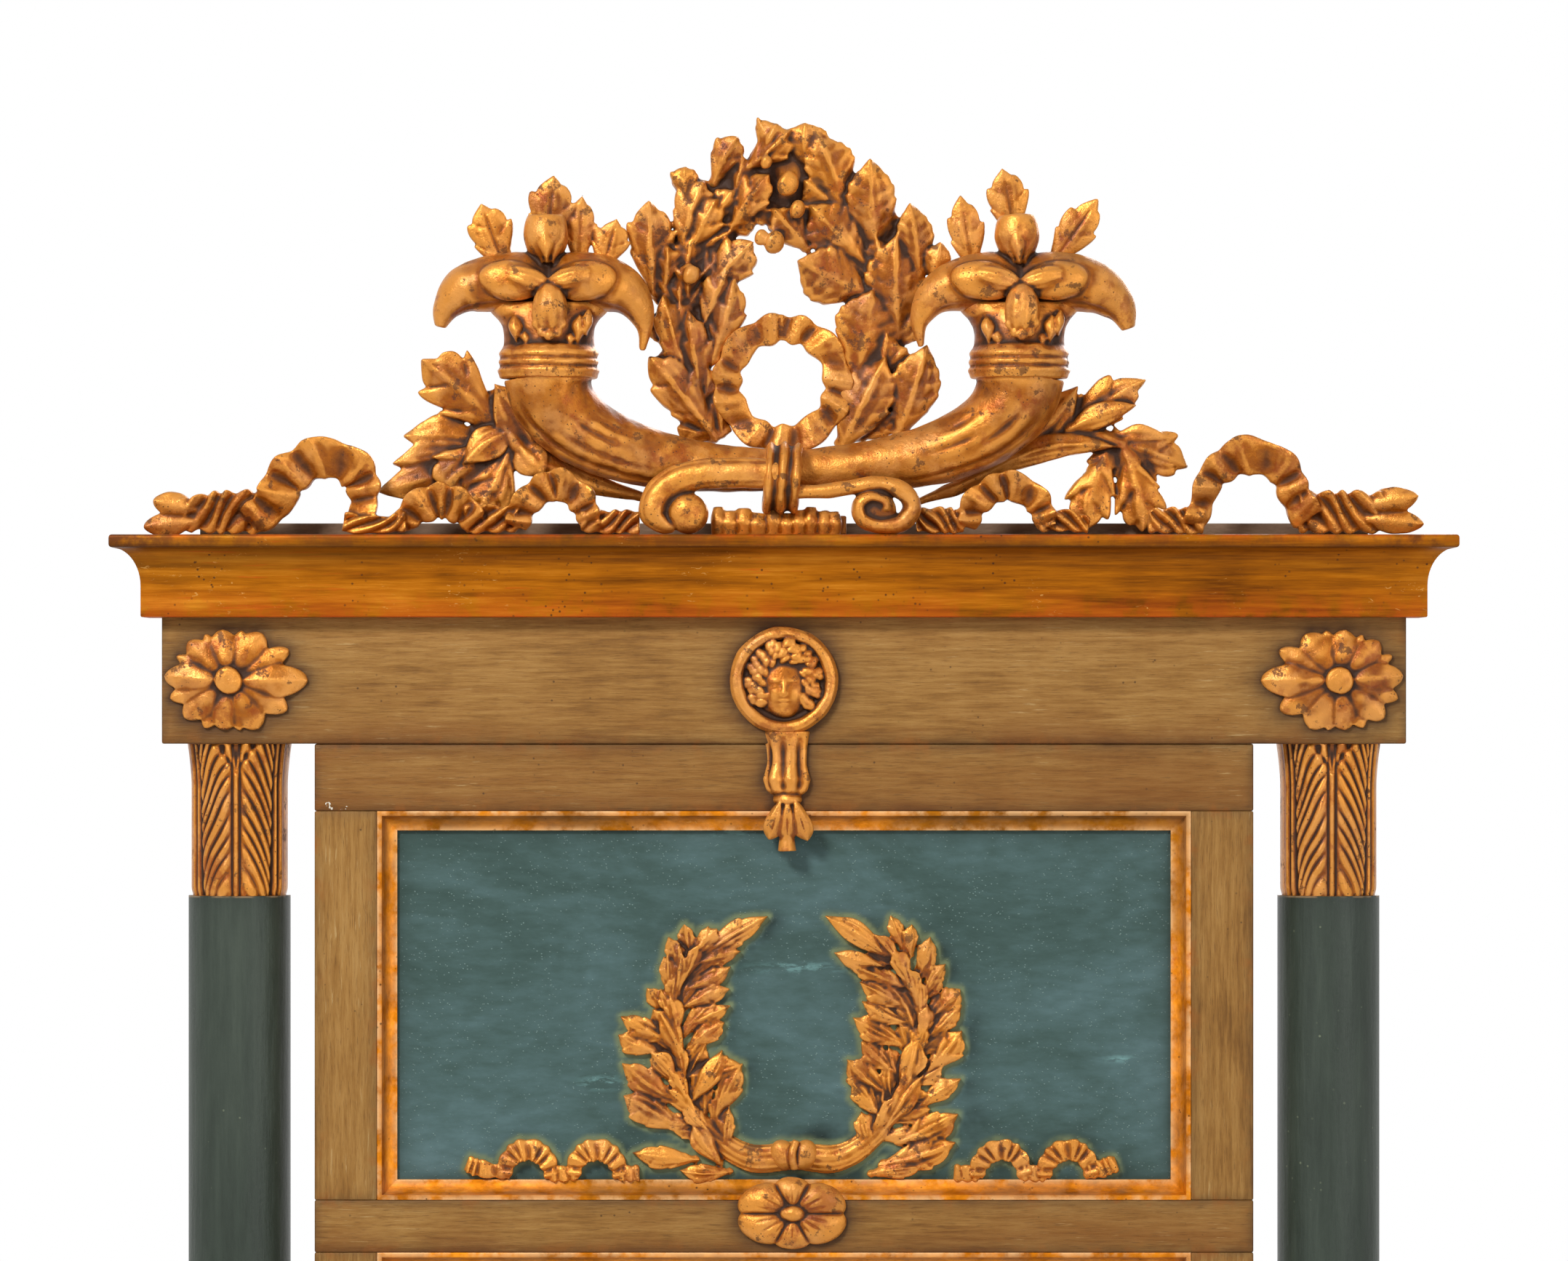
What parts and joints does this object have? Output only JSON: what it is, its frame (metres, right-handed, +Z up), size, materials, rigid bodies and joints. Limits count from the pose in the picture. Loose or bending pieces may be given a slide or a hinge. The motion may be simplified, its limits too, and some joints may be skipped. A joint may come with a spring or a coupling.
{
  "type": "painted wall mirror",
  "caption": "Tall wall mirror with olive frame, green half columns, painted panel with laurel, cornice and gilded crest of horns, wreath and ribbons.",
  "frame": {"origin": "bottom middle of the back, where the plinth's back meets its underside on the wall plane", "axes": "+X to the right seen from the front, +Y into the wall with the front facing -Y, +Z up"},
  "size_m": [0.818, 0.076, 1.628],
  "materials": {
    "gilding": "aged gilding over red ground, rubbed, dark in the hollows",
    "olive_paint": "streaked olive drab paint, satin, worn",
    "panel_paint": "blue-green paint with pale specks and scuffs",
    "column_paint": "dark green paint, satin",
    "raw_wood": "bare aged softwood",
    "mirror_glass": "silvered glass with age spots",
    "iron": "dark wrought iron, lightly rusted"
  },
  "bodies": {
    "mirror": {"backboard": "raw_wood", "backboard_nails": "iron", "base_front": "gilding", "base_returns": "gilding", "bottom_rail": "olive_paint", "column_bases": "gilding", "cornice_front": "gilding", "cornice_left_return": "gilding", "cornice_right_return": "gilding", "crest_fluting": "gilding", "crest_rail": "gilding", "crest_ribbon_ring": "gilding", "crest_tie": "gilding", "crest_wreath": "gilding", "frieze_board": "olive_paint", "glue_blocks": "raw_wood", "hanger_screws": "iron", "hanger_straps": "iron", "joint_dowels": "raw_wood", "laurel_knot": "gilding", "left_acanthus": "gilding", "left_capital": "gilding", "left_column_shaft": "column_paint", "left_crest_ribbon": "gilding", "left_frieze_rosette": "gilding", "left_horn": "gilding", "left_horn_fruit": "gilding", "left_horn_leaves": "gilding", "left_horn_mouth": "gilding", "left_laurel_spray": "gilding", "left_scroll": "gilding", "lower_left_stile": "olive_paint", "lower_right_stile": "olive_paint", "medallion": "gilding", "medallion_drop": "gilding", "mid_rail": "olive_paint", "mid_rail_rosette": "gilding", "mirror_plate": "mirror_glass", "mirror_sight_moulding": "gilding", "painted_panel": "panel_paint", "panel_ribbons": "gilding", "panel_sight_moulding": "gilding", "plinth_board": "olive_paint", "plinth_rosettes": "gilding", "right_acanthus": "gilding", "right_capital": "gilding", "right_column_shaft": "column_paint", "right_crest_ribbon": "gilding", "right_frieze_rosette": "gilding", "right_horn": "gilding", "right_horn_fruit": "gilding", "right_horn_leaves": "gilding", "right_horn_mouth": "gilding", "right_laurel_spray": "gilding", "right_scroll": "gilding", "top_rail": "olive_paint", "upper_left_stile": "olive_paint", "upper_right_stile": "olive_paint"},
    "left_ring": {"left_hanger_ring": "iron"},
    "right_ring": {"right_hanger_ring": "iron"}
  },
  "joints": [
    {"name": "left_ring_swing", "type": "hinge", "parent": "mirror", "child": "left_ring", "pos_m": [-0.267, -0.0107, 1.142], "axis": [1, 0, 0], "range_deg": [0, 180]},
    {"name": "right_ring_swing", "type": "hinge", "parent": "mirror", "child": "right_ring", "pos_m": [0.267, -0.0107, 1.142], "axis": [1, 0, 0], "range_deg": [0, 180]}
  ]
}
